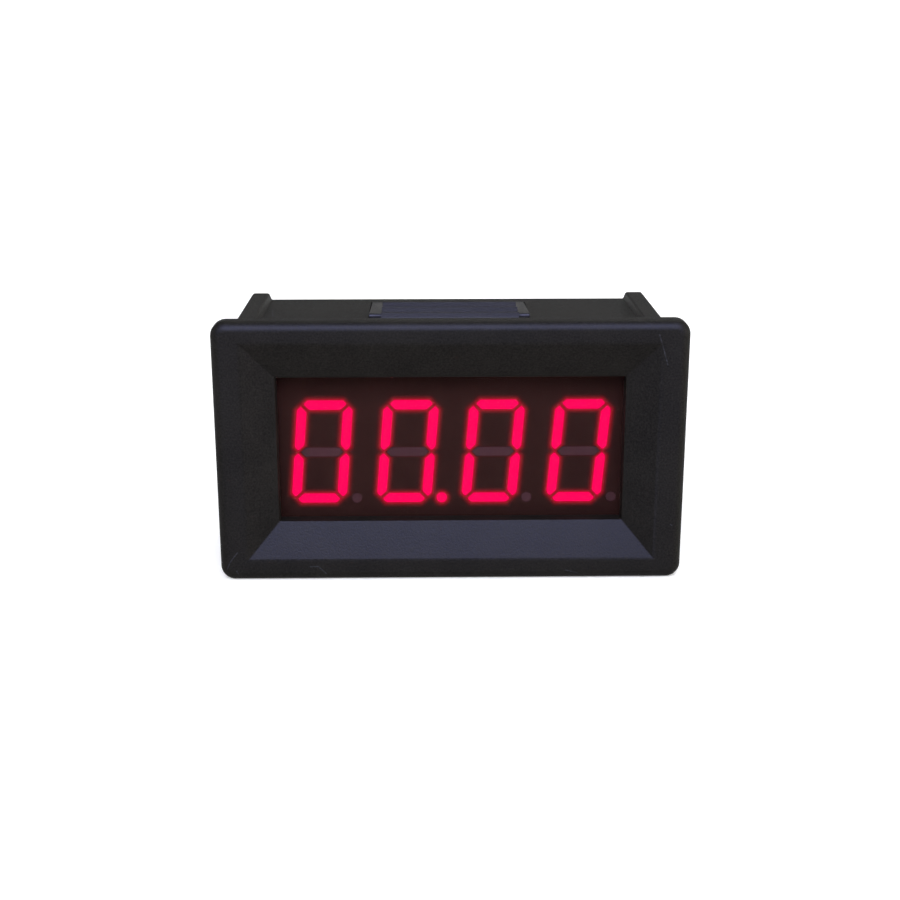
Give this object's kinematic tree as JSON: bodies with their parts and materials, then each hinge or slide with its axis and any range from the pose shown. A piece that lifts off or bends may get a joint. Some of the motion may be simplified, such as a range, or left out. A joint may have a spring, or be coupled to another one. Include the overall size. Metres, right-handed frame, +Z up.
{
  "type": "snap-in digital panel meter",
  "caption": "Snap-in digital panel meter: black rectangular bezel and open-backed body, sawtooth latch tongues, and a window with lit red seven-segment digits.",
  "frame": {"origin": "middle of the bezel's rear face, where the meter seats on its panel", "axes": "+X to the right as seen from the front, +Y from the front to the rear, +Z up"},
  "size_m": [0.048, 0.022, 0.0274],
  "materials": {
    "case_plastic": "fine moulded grain",
    "filter_tint": "smooth, see-through",
    "display_face": "matte print",
    "lit_bar": "lit",
    "unlit_bar": "unlit, milky",
    "clear_epoxy": "cast",
    "laminate": "satin solder mask",
    "display_laminate": "bare laminate",
    "tinned_metal": "tin plated",
    "solder": "bright solder",
    "chip_mould": "fine matte",
    "resistor_glaze": "glazed",
    "ceramic": "fired ceramic",
    "can_metal": "drawn, satin",
    "can_foot": "moulded",
    "trimmer_plastic": "moulded",
    "rotor_metal": "turned",
    "header_nylon": "moulded nylon"
  },
  "bodies": {
    "meter_body": {"case": "case_plastic", "filter_window": "filter_tint", "display_housing": "display_face", "lit_segments": "lit_bar", "unlit_segments": "unlit_bar", "display_epoxy": "clear_epoxy", "display_substrate": "display_laminate", "display_pins": "tinned_metal", "solder_joints": "solder", "circuit_board": "laminate", "controller": "chip_mould", "controller_leads": "tinned_metal", "digit_transistors": "chip_mould", "transistor_leads": "tinned_metal", "chip_resistors": "resistor_glaze", "ceramic_capacitors": "ceramic", "chip_end_caps": "tinned_metal", "voltage_regulator": "chip_mould", "regulator_leads": "tinned_metal", "supply_diode": "chip_mould", "diode_leads": "tinned_metal", "capacitor_can": "can_metal", "capacitor_base": "can_foot", "capacitor_tabs": "tinned_metal", "trimmer_body": "trimmer_plastic", "trimmer_tabs": "tinned_metal", "wire_header": "header_nylon", "header_pins": "tinned_metal", "header_tabs": "tinned_metal"},
    "top_latch": {"latch_tongue_top": "case_plastic"},
    "bottom_latch": {"latch_tongue_bottom": "case_plastic"},
    "trimmer_dial": {"trimmer_rotor": "rotor_metal"}
  },
  "joints": [
    {"name": "latch_top_flex", "type": "hinge", "parent": "meter_body", "child": "top_latch", "pos_m": [0, 0.0178, 0.01087], "axis": [1, 0, 0], "range_deg": [0, 5.5], "stiffness_Nm_per_rad": 0.7},
    {"name": "latch_bottom_flex", "type": "hinge", "parent": "meter_body", "child": "bottom_latch", "pos_m": [0, 0.0178, -0.01087], "axis": [-1, 0, 0], "range_deg": [0, 5.5], "stiffness_Nm_per_rad": 0.7},
    {"name": "trimmer_turn", "type": "hinge", "parent": "meter_body", "child": "trimmer_dial", "pos_m": [-0.0139, 0.0133, 0.00655], "axis": [0, 1, 0], "range_deg": [-110, 110]}
  ]
}
